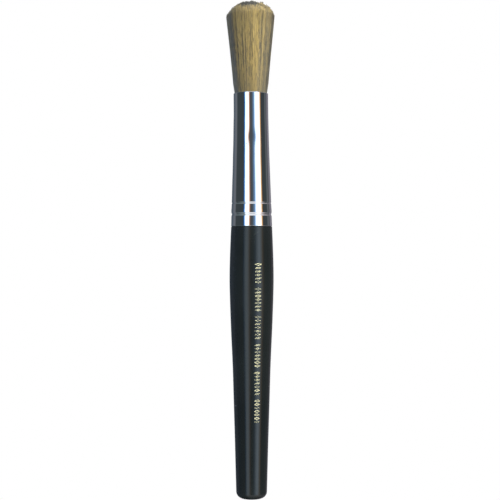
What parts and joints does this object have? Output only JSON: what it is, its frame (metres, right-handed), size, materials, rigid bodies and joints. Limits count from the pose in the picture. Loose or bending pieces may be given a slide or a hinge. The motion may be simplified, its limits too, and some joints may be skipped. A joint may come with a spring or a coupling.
{
  "type": "round stencil brush",
  "caption": "Round stencil brush with a domed tuft of tan filaments in a tapered, crimped bright metal ferrule on a stout black turned handle.",
  "frame": {"origin": "centre of the flat end of the handle's butt", "axes": "+Z along the brush from the butt to the tuft's tip; +X and +Y across the round section, +X being the way the tuft leans at a positive bend"},
  "size_m": [0.0184, 0.0184, 0.19],
  "materials": {
    "black_lacquered_wood": "semi-gloss black lacquer",
    "bright_ferrule_metal": "bright plated, lightly drawn",
    "amber_resin": "cast, translucent",
    "tan_filament": "satin tapered filaments",
    "waxed_thread": "waxed, twisted"
  },
  "bodies": {
    "handle_and_ferrule": {"handle": "black_lacquered_wood", "ferrule": "bright_ferrule_metal", "resin_plug": "amber_resin", "filament_roots": "tan_filament", "root_binding": "waxed_thread"},
    "tuft": {"filament_tuft": "tan_filament"}
  },
  "joints": [
    {"name": "tuft_bend", "type": "hinge", "parent": "handle_and_ferrule", "child": "tuft", "pos_m": [0, 0, 0.1546], "axis": [0, 1, 0], "range_deg": [-20, 20], "stiffness_Nm_per_rad": 0.06}
  ]
}
